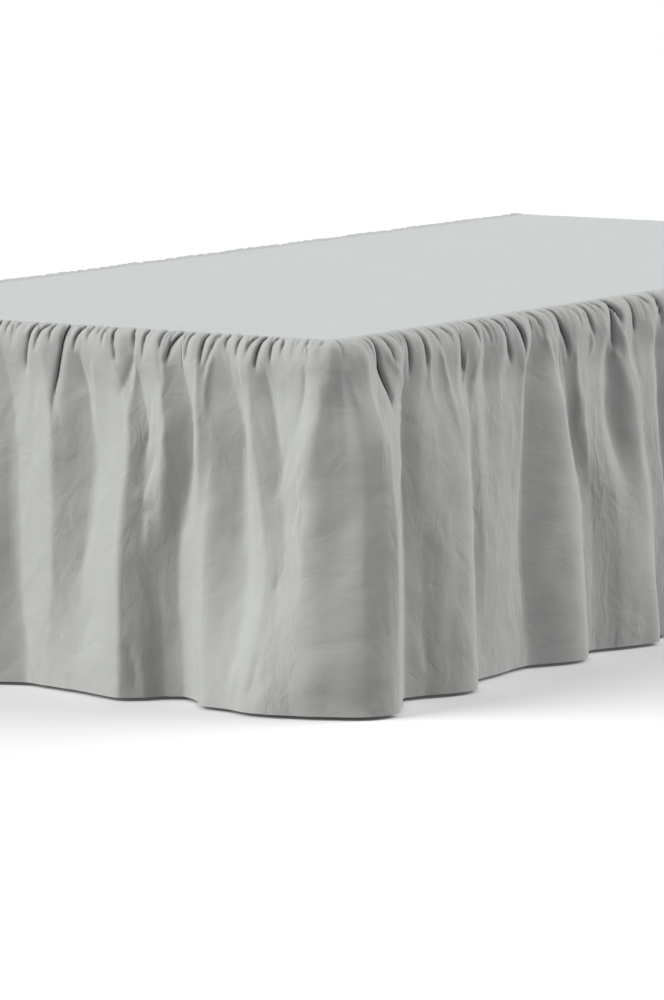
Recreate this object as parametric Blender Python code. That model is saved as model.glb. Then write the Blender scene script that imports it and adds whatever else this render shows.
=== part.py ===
"""Gathered bed skirt lying over a plain single bed base.

A flat deck panel lies on top of the base. One long strip of crisp cloth is gathered
onto three of its edges, rolls over the edge of the base and hangs in uneven folds
down to the floor. The head end is open. Metres, +Z up: the length runs along Y with
the foot end at -Y, and the origin is on the floor in the middle of the footprint.
"""

import math
from collections import namedtuple

import bmesh
import bpy
from mathutils import Vector

CM = 0.01

# Bed base and legs
BASE_WIDTH = 0.900
BASE_LENGTH = 2.000
BASE_HEIGHT = 0.300
BASE_CORNER_RADIUS = 0.030
BASE_EDGE_RADIUS = 0.018
LEG_HEIGHT = 0.200
LEG_TOP_RADIUS = 0.030
LEG_FOOT_RADIUS = 0.022
LEG_INSET = 0.080
LEG_SIDES = 32

# Cloth
GAP = 0.0003
SEAM_GAP = 0.0004
DECK_THICKNESS = 0.0015
RUFFLE_THICKNESS = 0.002
HEM_ABOVE_FLOOR = 0.005

# The seam between deck and ruffle lies this far in from the sides of the base.
SEAM_INSET_SIDE = 0.018
SEAM_INSET_FOOT = 0.004
SEAM_BLEND = 0.060

# The ruffle starts flat beside the deck, then rolls over the edge of the base.
SEAM_LEAD = 0.002
SHOULDER_DROP = 0.030
SHOULDER_PUFF = 0.0095
ROLL_STEPS = 4

# The cloth's middle surface never comes nearer to the sides of the base than this.
NEAREST = 0.0035

BASE_TOP = LEG_HEIGHT + BASE_HEIGHT
SEAM_Z = BASE_TOP + GAP + RUFFLE_THICKNESS / 2
HEM_DROP = SEAM_Z - HEM_ABOVE_FLOOR

# Heights at which the fold table gives each fold: the drop below the seam.
LEVEL_DROPS = (SHOULDER_DROP, 0.140, 0.320, HEM_DROP)
HANG_DROPS = (0.080, 0.140, 0.210, 0.320, 0.410, HEM_DROP)

# The ruffle's outline runs round the base: 0 is the middle of the near corner,
# minus is along the foot, plus is along the near side up to the head end.
CORNER_ARC = math.pi / 2 * BASE_CORNER_RADIUS
SIDE_STRAIGHT = BASE_LENGTH - BASE_CORNER_RADIUS
FOOT_STRAIGHT = BASE_WIDTH - 2 * BASE_CORNER_RADIUS
NEAR_END = CORNER_ARC / 2 + SIDE_STRAIGHT
FAR_CORNER = -(CORNER_ARC + FOOT_STRAIGHT)
FAR_END = FAR_CORNER - NEAR_END

# Folds that a viewer at the near corner sees, from the middle of the foot round the
# corner and along the near side. Each row is the line of one crest or hollow; "at" is
# its place along the outline and "out" how far it stands off the side of the base, both
# in centimetres, at the shoulder, upper, lower and hem levels.
Fold = namedtuple(
    "Fold",
    "shoulder_at shoulder_out upper_at upper_out lower_at lower_out hem_at hem_out",
)
NEAR_FOLDS = (
    Fold(-57.7, 1.4, -57.7, 2.6, -57.2, 4.1, -57.2, 4.6),
    Fold(-53.0, 0.6, -51.0, 0.5, -50.0, 0.8, -50.4, 2.3),
    Fold(-46.0, 1.6, -43.6, 3.2, -43.4, 3.6, -45.2, 2.0),
    Fold(-40.0, 0.6, -36.8, 0.5, -40.2, 2.6, -39.7, 4.0),
    Fold(-34.2, 1.6, -30.8, 3.6, -30.8, 5.6, -29.8, 7.0),
    Fold(-31.0, 0.8, -28.5, 2.2, -28.9, 3.6, -28.0, 4.4),
    Fold(-27.4, 1.5, -25.2, 3.2, -27.0, 2.0, -26.4, 1.8),
    Fold(-23.6, 0.5, -21.9, 0.5, -24.5, 0.6, -24.6, 0.6),
    Fold(-21.4, 1.6, -19.9, 3.0, -21.2, 1.8, -21.0, 1.0),
    Fold(-18.6, 1.0, -17.7, 2.3, -18.9, 3.6, -17.4, 6.2),
    Fold(-15.8, 0.6, -13.8, 0.6, -12.0, 2.0, -12.8, 6.7),
    Fold(-12.6, 1.6, -11.2, 3.2, -8.4, 4.3, -9.4, 8.0),
    Fold(-9.2, 0.8, -7.4, 2.0, -5.6, 4.2, -6.2, 7.9),
    Fold(-2.4, 1.6, -1.9, 3.7, -2.3, 4.9, -2.6, 7.3),
    Fold(-0.8, 1.1, -0.6, 3.0, -0.8, 4.3, -0.8, 6.6),
    Fold(0.8, 1.3, 0.8, 3.4, 0.7, 4.7, 0.8, 6.4),
    Fold(2.2, 0.9, 2.0, 2.5, 1.9, 4.0, 2.2, 6.0),
    Fold(4.0, 1.0, 3.4, 2.3, 3.1, 3.4, 3.8, 5.6),
    Fold(8.0, 0.5, 7.0, 0.7, 6.2, 1.0, 5.6, 4.6),
    Fold(10.2, 1.4, 9.7, 2.3, 8.7, 2.7, 7.0, 4.6),
    Fold(13.6, 0.5, 12.6, 0.5, 12.4, 0.5, 13.6, 1.0),
    Fold(18.0, 1.1, 16.8, 2.7, 17.4, 1.8, 17.0, 1.8),
    Fold(21.6, 1.2, 22.0, 2.9, 22.6, 3.3, 21.4, 4.5),
    Fold(25.2, 1.5, 26.4, 3.2, 27.4, 4.2, 25.4, 6.1),
    Fold(29.6, 0.5, 30.7, 1.5, 31.4, 1.7, 31.0, 2.8),
    Fold(34.4, 1.4, 35.0, 1.7, 36.0, 1.6, 35.6, 1.4),
    Fold(39.6, 0.9, 38.8, 1.6, 38.4, 1.4, 40.0, 0.7),
    Fold(44.4, 1.5, 42.2, 2.0, 41.6, 1.3, 44.4, 1.3),
    Fold(48.6, 0.5, 47.0, 0.5, 46.6, 0.5, 50.0, 2.4),
    Fold(53.0, 1.5, 53.2, 3.5, 57.0, 4.2, 57.0, 6.5),
    Fold(57.2, 0.7, 57.6, 1.9, 60.2, 1.2, 60.6, 3.9),
    Fold(63.4, 1.4, 64.0, 2.2, 63.4, 0.6, 64.2, 1.8),
    Fold(67.8, 0.5, 67.6, 0.7, 66.0, 1.7, 67.4, 1.4),
    Fold(71.6, 1.2, 71.2, 2.7, 69.0, 3.5, 70.6, 2.2),
    Fold(75.4, 1.6, 75.6, 3.5, 77.2, 4.0, 78.6, 6.4),
    Fold(80.4, 0.5, 80.6, 1.8, 83.0, 3.0, 84.6, 2.2),
    Fold(84.0, 1.5, 84.4, 2.4, 88.0, 2.6, 89.6, 1.2),
    Fold(88.6, 0.5, 90.5, 0.5, 93.0, 0.6, 94.4, 0.5),
)

# Elsewhere the folds are plain: crest and hollow take turns at about this pitch, standing
# off the base by these centimetres at the four levels. Their places sway to and fro, less
# and less towards the hem, and their depth swells and shrinks along the bed.
PLAIN_HALF_PITCH = 0.085
PLAIN_MARGIN = 0.034
PLAIN_CREST_CM = (1.5, 3.0, 4.6, 5.8)
PLAIN_HOLLOW_CM = (0.5, 0.5, 0.7, 1.0)
PLAIN_CORNER_CM = (1.2, 2.6, 4.2, 6.0)
PLAIN_END_CM = (1.2, 1.2, 1.2, 1.2)
PLAIN_SWAY_CM = (1.6, 0.9, 0.2, -0.5)
PLAIN_SWELL = 0.22

# Strips of cloth between one fold line and the next
NEAR_SPLITS = 2
PLAIN_SPLITS = 3

# Colours are linear RGB.
MATERIALS = {
    "ruffle_cloth": ((0.42, 0.43, 0.42), 0.85),
    "deck_cloth": ((0.60, 0.62, 0.62), 0.85),
    "base_cover": ((0.55, 0.54, 0.51), 0.90),
    "leg_wood": ((0.52, 0.36, 0.22), 0.45),
}


def clear_scene():
    for scene_object in list(bpy.data.objects):
        bpy.data.objects.remove(scene_object, do_unlink=True)


def make_material(name):
    colour, roughness = MATERIALS[name]
    material = bpy.data.materials.new(name)
    material.use_nodes = True
    shader = material.node_tree.nodes["Principled BSDF"]
    shader.inputs["Base Color"].default_value = (*colour, 1.0)
    shader.inputs["Roughness"].default_value = roughness
    shader.inputs["Metallic"].default_value = 0.0
    return material


def add_object(name, mesh_data, material):
    """Turn a bmesh into a named object with its material."""
    mesh = bpy.data.meshes.new(name)
    mesh_data.to_mesh(mesh)
    mesh_data.free()
    mesh.materials.append(material)
    mesh.shade_smooth()
    mesh.set_sharp_from_angle(angle=math.radians(40))
    scene_object = bpy.data.objects.new(name, mesh)
    bpy.context.scene.collection.objects.link(scene_object)
    return scene_object


def outline(at):
    """Point and outward direction on the side of the base, at a place along its outline."""
    half_width = BASE_WIDTH / 2
    half_length = BASE_LENGTH / 2
    mirrored = at < FAR_CORNER / 2
    run = FAR_CORNER - at if mirrored else at
    along_side = run - CORNER_ARC / 2
    if along_side >= 0:
        point = Vector((half_width, BASE_CORNER_RADIUS - half_length + along_side, 0))
        outward = Vector((1, 0, 0))
    elif run > -CORNER_ARC / 2:
        turn = run / BASE_CORNER_RADIUS - math.pi / 4
        outward = Vector((math.cos(turn), math.sin(turn), 0))
        centre = Vector((half_width - BASE_CORNER_RADIUS, BASE_CORNER_RADIUS - half_length, 0))
        point = centre + outward * BASE_CORNER_RADIUS
    else:
        along_foot = -CORNER_ARC / 2 - run
        point = Vector((half_width - BASE_CORNER_RADIUS - along_foot, -half_length, 0))
        outward = Vector((0, -1, 0))
    if mirrored:
        point.x = -point.x
        outward.x = -outward.x
    return point, outward


def seam_inset(at):
    """The seam lies near the edge at the foot and further in along the sides."""
    distance = max(at, FAR_CORNER - at)
    share = min(1.0, max(0.0, 0.5 + distance / SEAM_BLEND))
    share = share * share * (3 - 2 * share)
    return SEAM_INSET_FOOT + (SEAM_INSET_SIDE - SEAM_INSET_FOOT) * share


def plain_folds(start, stop, crest_first):
    """Crest and hollow rows for a stretch out of sight, uneven by a slow rule."""
    count = round((stop - start) / PLAIN_HALF_PITCH)
    rows = []
    for step in range(count):
        place = start + (stop - start) * (step + 0.5) / count
        sway = math.sin(2.4 * step + 5.0 * start)
        swell = 1.0 + PLAIN_SWELL * math.sin(1.7 * step + 0.8 + start)
        is_crest = (step % 2 == 0) == crest_first
        outs = PLAIN_CREST_CM if is_crest else PLAIN_HOLLOW_CM
        numbers = []
        for shift, out in zip(PLAIN_SWAY_CM, outs):
            numbers += [place / CM + sway * shift, out * swell]
        rows.append(Fold(*numbers))
    return rows


def upright_fold(place, outs):
    """One fold line that stays at the same place from shoulder to hem."""
    return Fold(*(number for out in outs for number in (place / CM, out)))


def all_folds():
    """Every fold from the far head end, round the foot, to the near head end."""
    first_near = NEAR_FOLDS[0].hem_at * CM - PLAIN_MARGIN
    last_near = NEAR_FOLDS[-1].hem_at * CM + PLAIN_MARGIN
    return [
        upright_fold(FAR_END, PLAIN_END_CM),
        *plain_folds(FAR_END + PLAIN_MARGIN, FAR_CORNER - PLAIN_MARGIN, crest_first=False),
        upright_fold(FAR_CORNER, PLAIN_CORNER_CM),
        *plain_folds(FAR_CORNER + PLAIN_MARGIN, first_near, crest_first=False),
        *NEAR_FOLDS,
        *plain_folds(last_near, NEAR_END - PLAIN_MARGIN, crest_first=True),
        upright_fold(NEAR_END, PLAIN_END_CM),
    ]


def curve_slopes(places, values):
    """Slopes of a curve through the points that never swings past them."""
    steps = [(values[i + 1] - values[i]) / (places[i + 1] - places[i]) for i in range(len(places) - 1)]
    slopes = [0.0] * len(places)
    for i in range(1, len(places) - 1):
        before, after = steps[i - 1], steps[i]
        if before * after > 0:
            slopes[i] = 2 * before * after / (before + after)
    return slopes


def curve_point(places, values, slopes, i, share):
    """Value on the curve between point i and the next one."""
    width = places[i + 1] - places[i]
    rest = 1 - share
    return (
        values[i] * (1 + 2 * share) * rest * rest
        + slopes[i] * width * share * rest * rest
        + values[i + 1] * (3 - 2 * share) * share * share
        - slopes[i + 1] * width * rest * share * share
    )


def between_levels(drop, values):
    """A fold's value at any drop, read smoothly between the four levels."""
    slopes = curve_slopes(LEVEL_DROPS, values)
    i = 0
    while i < len(LEVEL_DROPS) - 2 and drop > LEVEL_DROPS[i + 1]:
        i += 1
    share = (drop - LEVEL_DROPS[i]) / (LEVEL_DROPS[i + 1] - LEVEL_DROPS[i])
    return curve_point(LEVEL_DROPS, values, slopes, i, min(1.0, max(0.0, share)))


def fold_section(rows, drop):
    """Places and stand-off distances along the outline at one height of the ruffle."""
    places = [between_levels(drop, row[0::2]) * CM for row in rows]
    outs = [max(NEAREST, between_levels(drop, row[1::2]) * CM) for row in rows]
    slopes = curve_slopes(places, outs)
    section = []
    for i, row in enumerate(rows[:-1]):
        splits = NEAR_SPLITS if row in NEAR_FOLDS else PLAIN_SPLITS
        for split in range(splits):
            share = split / splits
            place = places[i] + (places[i + 1] - places[i]) * share
            section.append((place, curve_point(places, outs, slopes, i, share)))
    section.append((places[-1], outs[-1]))
    return section


def ring(sheet, section, reach_of, height):
    """One row of the ruffle's vertices, at one height and a reach from the base's side."""
    loop = []
    for at, out in section:
        point, outward = outline(at)
        spot = point + outward * reach_of(at, out) + Vector((0, 0, height))
        loop.append(sheet.verts.new(spot))
    return loop


def build_ruffle():
    """Loft the gathered strip through its sections, then give it its thickness."""
    rows = all_folds()
    sheet = bmesh.new()
    shoulder = fold_section(rows, SHOULDER_DROP)
    loops = [ring(sheet, shoulder, lambda at, out: SEAM_GAP - seam_inset(at), SEAM_Z)]
    for step in range(ROLL_STEPS):
        turn = math.pi / 2 * step / ROLL_STEPS

        def rolled(at, out, share=math.sin(turn)):
            inset = seam_inset(at) - SEAM_LEAD
            return (out + inset) * share - inset

        rise = SHOULDER_PUFF * math.sin(2 * turn) - SHOULDER_DROP * (1 - math.cos(turn))
        loops.append(ring(sheet, shoulder, rolled, SEAM_Z + rise))
    for drop in (SHOULDER_DROP, *HANG_DROPS):
        section = fold_section(rows, drop)
        loops.append(ring(sheet, section, lambda at, out: out, SEAM_Z - drop))
    for upper, lower in zip(loops, loops[1:]):
        for i in range(len(upper) - 1):
            sheet.faces.new((upper[i], lower[i], lower[i + 1], upper[i + 1]))
    ruffle = add_object("ruffle", sheet, make_material("ruffle_cloth"))
    wall = ruffle.modifiers.new("thickness", "SOLIDIFY")
    wall.thickness = RUFFLE_THICKNESS
    wall.offset = 0.0
    return ruffle


def build_deck():
    """The flat panel on top of the base, cut to the line of the ruffle's seam."""
    panel = bmesh.new()
    rim = []
    for at, _ in fold_section(all_folds(), SHOULDER_DROP):
        point, outward = outline(at)
        rim.append(panel.verts.new(point - outward * seam_inset(at) + Vector((0, 0, BASE_TOP + GAP))))
    face = panel.faces.new(rim)
    top = bmesh.ops.extrude_face_region(panel, geom=[face])["geom"]
    raised = [item for item in top if isinstance(item, bmesh.types.BMVert)]
    bmesh.ops.translate(panel, verts=raised, vec=(0, 0, DECK_THICKNESS))
    bmesh.ops.recalc_face_normals(panel, faces=panel.faces)
    return add_object("deck_panel", panel, make_material("deck_cloth"))


def build_base():
    """Plain covered box with rounded corners and edges."""
    box = bmesh.new()
    bmesh.ops.create_cube(box, size=1.0)
    bmesh.ops.scale(box, verts=box.verts, vec=(BASE_WIDTH, BASE_LENGTH, BASE_HEIGHT))
    bmesh.ops.translate(box, verts=box.verts, vec=(0, 0, LEG_HEIGHT + BASE_HEIGHT / 2))
    upright = [edge for edge in box.edges if abs(edge.verts[0].co.z - edge.verts[1].co.z) > 0.1]
    round_edges(box, upright, BASE_CORNER_RADIUS, 6)
    rims = [edge for edge in box.edges if abs(edge.verts[0].co.z - edge.verts[1].co.z) < 0.001]
    round_edges(box, rims, BASE_EDGE_RADIUS, 3)
    return add_object("bed_base", box, make_material("base_cover"))


def round_edges(mesh_data, edges, radius, segments):
    bmesh.ops.bevel(
        mesh_data,
        geom=edges,
        offset=radius,
        offset_type="OFFSET",
        segments=segments,
        profile=0.5,
        affect="EDGES",
        clamp_overlap=True,
        material=-1,
    )


def build_legs():
    """Four tapered legs under the corners of the base."""
    wood = make_material("leg_wood")
    across = BASE_WIDTH / 2 - LEG_INSET
    along = BASE_LENGTH / 2 - LEG_INSET
    legs = []
    for name, side, end in (
        ("leg_foot_near", 1, -1),
        ("leg_foot_far", -1, -1),
        ("leg_head_near", 1, 1),
        ("leg_head_far", -1, 1),
    ):
        leg = bmesh.new()
        bmesh.ops.create_cone(
            leg,
            cap_ends=True,
            segments=LEG_SIDES,
            radius1=LEG_FOOT_RADIUS,
            radius2=LEG_TOP_RADIUS,
            depth=LEG_HEIGHT - GAP,
        )
        bmesh.ops.translate(leg, verts=leg.verts, vec=(0, 0, (LEG_HEIGHT - GAP) / 2))
        leg_object = add_object(name, leg, wood)
        leg_object.location = (side * across, end * along, 0)
        legs.append(leg_object)
    return legs


def centre_on_floor(scene_objects):
    """Shift everything so that the footprint's middle is over the origin."""
    bpy.context.view_layer.update()
    depsgraph = bpy.context.evaluated_depsgraph_get()
    corners = []
    for scene_object in scene_objects:
        seen = scene_object.evaluated_get(depsgraph)
        corners += [scene_object.matrix_world @ Vector(corner) for corner in seen.bound_box]
    middle_x = (min(c.x for c in corners) + max(c.x for c in corners)) / 2
    middle_y = (min(c.y for c in corners) + max(c.y for c in corners)) / 2
    for scene_object in scene_objects:
        scene_object.location.x -= middle_x
        scene_object.location.y -= middle_y


def main():
    clear_scene()
    parts = [build_ruffle(), build_deck(), build_base(), *build_legs()]
    centre_on_floor(parts)


main()
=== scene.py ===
"""Cloth finish for a gathered bed skirt lying over a plain single bed base.

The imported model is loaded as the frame. The ruffle and the deck panel are made again as
thin sheets on the folds of their solids, with the gathers under the seam and the creases
in the cloth. The base and its legs keep their own meshes and get their finishes.
Metres, +Z up: the foot end is at -Y and the seen corner is at +X, -Y.
"""

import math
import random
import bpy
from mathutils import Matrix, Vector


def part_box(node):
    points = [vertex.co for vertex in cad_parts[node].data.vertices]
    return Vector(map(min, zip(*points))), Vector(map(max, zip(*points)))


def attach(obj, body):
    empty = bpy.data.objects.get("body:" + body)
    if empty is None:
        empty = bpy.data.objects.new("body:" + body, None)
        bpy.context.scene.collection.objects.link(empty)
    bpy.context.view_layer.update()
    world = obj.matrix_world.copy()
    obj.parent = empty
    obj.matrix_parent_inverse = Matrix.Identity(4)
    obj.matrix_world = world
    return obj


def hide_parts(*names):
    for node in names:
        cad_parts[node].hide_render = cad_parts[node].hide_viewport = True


bl_info = {
    "name": "Gathered bed skirt",
    "version": (1, 0, 0),
    "blender": (4, 5, 0),
    "location": "3D View > Sidebar > Bed skirt",
    "description": "Dresses a plain single bed base in its gathered skirt",
    "category": "Object",
}

from collections import namedtuple

import bmesh
import bpy
import numpy as np
from mathutils import Vector

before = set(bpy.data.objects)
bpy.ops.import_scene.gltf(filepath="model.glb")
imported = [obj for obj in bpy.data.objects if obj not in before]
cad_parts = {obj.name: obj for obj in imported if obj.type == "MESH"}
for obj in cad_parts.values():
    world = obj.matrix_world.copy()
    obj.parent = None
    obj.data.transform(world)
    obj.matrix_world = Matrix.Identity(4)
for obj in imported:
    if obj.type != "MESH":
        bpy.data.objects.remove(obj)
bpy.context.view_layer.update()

CM = 0.01
MM = 0.001

# The base that the skirt lies over, and the lines of the skirt on it
BASE_LOW, BASE_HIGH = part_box("bed_base")
DECK_LOW, DECK_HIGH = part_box("deck_panel")
BASE_MIDDLE_X = (BASE_LOW.x + BASE_HIGH.x) / 2
BASE_MIDDLE_Y = (BASE_LOW.y + BASE_HIGH.y) / 2
HALF_WIDTH = (BASE_HIGH.x - BASE_LOW.x) / 2
HALF_LENGTH = (BASE_HIGH.y - BASE_LOW.y) / 2
BASE_CORNER_RADIUS = 0.030
SEAM_INSET_SIDE = 0.018
SEAM_INSET_FOOT = 0.004
SEAM_BLEND = 0.060
SEAM_LEAD = 0.002
SEAM_Z = BASE_HIGH.z + 0.0013
HEM_DROP = SEAM_Z - 0.005
SHOULDER_DROP = 0.030
SHOULDER_PUFF = 0.0040
NEAREST = 0.0035
LEVEL_DROPS = (SHOULDER_DROP, 0.140, 0.320, HEM_DROP)

# Length of cloth from the seam over the edge to the shoulder, and on down to the hem
ROLL_RUN = 0.046
HEM_RUN = ROLL_RUN + HEM_DROP - SHOULDER_DROP

# The ruffle's outline runs round the base: 0 is the middle of the near corner,
# minus is along the foot, plus is along the near side up to the head end.
CORNER_ARC = math.pi / 2 * BASE_CORNER_RADIUS
SIDE_STRAIGHT = 2 * HALF_LENGTH - BASE_CORNER_RADIUS
FOOT_STRAIGHT = 2 * HALF_WIDTH - 2 * BASE_CORNER_RADIUS
NEAR_END = CORNER_ARC / 2 + SIDE_STRAIGHT
FAR_CORNER = -(CORNER_ARC + FOOT_STRAIGHT)
FAR_END = FAR_CORNER - NEAR_END


def table(columns, *rows):
    """Rows of numbers under named columns."""
    return [columns(*row) for row in rows]


# Folds near the seen corner. Each row is the line of one crest or hollow; "at" is its
# place along the outline and "out" how far it stands off the side of the base, both in
# centimetres, at the shoulder, upper, lower and hem levels.
Fold = namedtuple(
    "Fold", "shoulder_at shoulder_out upper_at upper_out lower_at lower_out hem_at hem_out"
)
NEAR_FOLDS = table(
    Fold,
    (-57.7, 1.4, -57.7, 2.6, -57.2, 4.1, -57.2, 4.6),
    (-53, 0.6, -51.4, 0.5, -50.9, 0.5, -49.2, 1.4),
    (-46, 1.6, -43.9, 3.2, -43.6, 3.4, -45.2, 2.4),
    (-40, 0.6, -37.8, 0.9, -39, 2.2, -39.7, 3.6),
    (-34.2, 1.6, -30.8, 3.4, -31.2, 5.3, -30.8, 6.4),
    (-31, 0.8, -28.5, 2.2, -28.9, 3.6, -28, 4.4),
    (-27.4, 1.5, -25.2, 3.2, -27, 2, -26.4, 1.8),
    (-23.6, 0.5, -21.9, 0.5, -24.5, 0.6, -23.8, 0.6),
    (-21.4, 1.6, -19.9, 3, -21.2, 1.8, -20.6, 2.6),
    (-18.6, 1, -17.7, 2.3, -18.9, 3.6, -17.4, 6.2),
    (-15.8, 0.6, -13.8, 0.6, -12.8, 2, -12.8, 6.7),
    (-12.6, 1.6, -11.2, 3.2, -8.4, 4.3, -9.4, 8),
    (-9.2, 0.8, -7.4, 2, -5.6, 4.2, -6.2, 7.9),
    (-2.4, 1.6, -1.9, 3.7, -2.3, 4.9, -2.6, 7.1),
    (-0.8, 1.5, -0.6, 3.4, -0.8, 4.8, -0.8, 6.5),
    (0.1, 1.5, 0.2, 3.7, 0.1, 5.5, 0, 7.1),
    (0.7, 1.8, 0.9, 4.8, 0.6, 6.6, 0.6, 7.7),
    (2.2, 1.9, 1.4, 5.1, 1.1, 7.1, 1.2, 8),
    (4, 1.4, 1.9, 5.6, 1.7, 7.6, 1.8, 8),
    (6.8, 0.5, 2.5, 5.8, 2.2, 7.8, 2.2, 7.8),
    (11.2, 1.6, 4.8, 5, 3, 6.4, 3, 6.6),
    (14, 0.5, 13.2, 0.5, 14.2, 0.7, 13.2, 1.4),
    (17.4, 1.4, 16.6, 2.4, 17.4, 2, 16.8, 2.7),
    (21.6, 1.2, 21, 2.7, 20.6, 3.5, 19.6, 4.5),
    (26.2, 1.6, 26.6, 3.1, 25.8, 4.5, 24.4, 6),
    (28.8, 0.5, 29.8, 2, 31.6, 1.5, 31.6, 1.5),
    (31.6, 1.4, 31.8, 2.2, 33.8, 2.2, 34.2, 1.4),
    (34.9, 0.6, 34.6, 1.6, 36.6, 2.2, 36.8, 1.3),
    (38.6, 1.5, 38.2, 1.9, 39, 2, 39.4, 1.2),
    (41, 0.9, 41, 1.7, 41.6, 1.6, 41.8, 1),
    (44.6, 1.6, 44.6, 1.5, 44, 1, 44.6, 0.7),
    (48, 0.5, 46.4, 0.5, 45.8, 0.5, 48.2, 0.6),
    (51.2, 1.5, 53.6, 3.3, 55.2, 4.1, 57.4, 4.6),
    (55.6, 0.6, 57.8, 0.8, 63.4, 0.7, 63.8, 1),
    (59, 1.5, 60.4, 2.4, 65.8, 0.8, 66, 1.1),
    (63.6, 0.9, 63.2, 2, 68.2, 1.8, 68.6, 2),
    (67.4, 1.5, 65.8, 1.9, 70.6, 2.7, 71.2, 3.3),
    (70.2, 0.5, 69.8, 0.6, 73.6, 3.3, 74.2, 4.4),
    (72.6, 1.5, 73.8, 3.2, 77.4, 3.6, 77.6, 5.2),
    (76, 0.9, 77, 2.4, 81, 2.4, 82.4, 1.8),
    (80.6, 1.7, 80.8, 2.5, 83.8, 2.8, 85, 2.6),
    (84, 0.5, 84.6, 0.5, 87.2, 0.8, 88.6, 1),
    (88, 1.4, 88.4, 2.4, 90.4, 3, 91, 3.6),
    (92.4, 0.5, 92.6, 0.5, 94, 0.6, 94.4, 0.5),
)

# Slots between the gathers, where the seam bunches the cloth, on the stretch near the
# seen corner. A slot starts at "at", moves along the outline by "lean" on its way down,
# fades out at "length" below the top of the edge and is "depth" deep; centimetres.
Slot = namedtuple("Slot", "at lean length depth")
NEAR_SLOTS = table(
    Slot,
    (-55.6, -0.6, 3.5, 0.45),
    (-53.6, -0.4, 2.6, 0.55),
    (-52.2, -0.2, 1.8, 0.3),
    (-50.2, -0.6, 2.2, 0.4),
    (-47.4, -1.6, 6.6, 0.85),
    (-45.4, -1.7, 3.4, 0.6),
    (-44.4, -0.4, 2, 0.3),
    (-42.1, -1.6, 12.5, 0.95),
    (-41.5, -0.4, 2, 0.35),
    (-39.6, -1.6, 2.8, 0.7),
    (-38.2, -0.4, 2, 0.35),
    (-36.8, -0.2, 1.6, 0.2),
    (-35.8, -0.3, 2.2, 0.45),
    (-34.4, 0.5, 4.4, 0.65),
    (-31.4, 0.3, 2.6, 0.5),
    (-29, -0.5, 3.6, 0.65),
    (-26.4, -0.4, 2.2, 0.35),
    (-25, -0.6, 2.4, 0.3),
    (-23.6, -2.3, 4, 0.75),
    (-22.8, -0.2, 1.8, 0.3),
    (-21.8, -0.8, 3.8, 0.9),
    (-19.4, -0.8, 4, 0.55),
    (-17.5, -2.2, 5.6, 0.35),
    (-16.1, -0.5, 1.8, 0.35),
    (-14.1, -0.3, 2.8, 0.75),
    (-11.6, -1.1, 2.6, 0.6),
    (-10.3, -1.2, 4, 0.8),
    (-8.5, -0.9, 3, 0.42),
    (-7.1, -0.3, 2.2, 0.28),
    (-4.8, -0.2, 2.4, 0.28),
    (-3.5, 0.8, 2.8, 0.34),
    (-1.6, 0.4, 2.2, 0.2),
    (0.1, 0.5, 3, 0.5),
    (0.9, 0.5, 1.8, 0.45),
    (1.9, 1, 2.4, 0.45),
    (2.8, 0.6, 3, 0.34),
    (4.2, 1.2, 3.6, 0.4),
    (6.5, 1.2, 10.5, 0.9),
    (8.6, 1.4, 3.8, 0.42),
    (10.8, 0.8, 2.2, 0.36),
    (12.8, -0.2, 2.2, 0.65),
    (14.8, 0.4, 6, 0.55),
    (17.6, 0.9, 5, 0.75),
    (20.8, 1.6, 3.4, 0.3),
    (23.4, 1.8, 2.2, 0.34),
    (26.8, 2.6, 7, 0.75),
    (31.6, 1.4, 3.2, 0.75),
    (34.8, 1.6, 3, 0.38),
    (37.8, 4, 6.5, 0.8),
    (42.2, 3.2, 7, 0.9),
    (45.8, 2, 2.2, 0.32),
    (48.4, 2, 3.4, 0.34),
    (51, 2.4, 4, 0.34),
    (53.8, 4, 7, 0.9),
    (58.4, 2.2, 3, 0.36),
    (62, 2.8, 5, 0.5),
    (65.6, 2.4, 3, 0.4),
    (69.2, 3.2, 3.2, 0.8),
    (70.4, 0.6, 8, 0.5),
    (75.6, 0.9, 5, 0.65),
    (78.6, 2.4, 3.4, 0.4),
    (83.4, 1.8, 4.8, 0.6),
    (87, 2, 3, 0.36),
    (90.6, 2.4, 5, 0.6),
)

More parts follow.
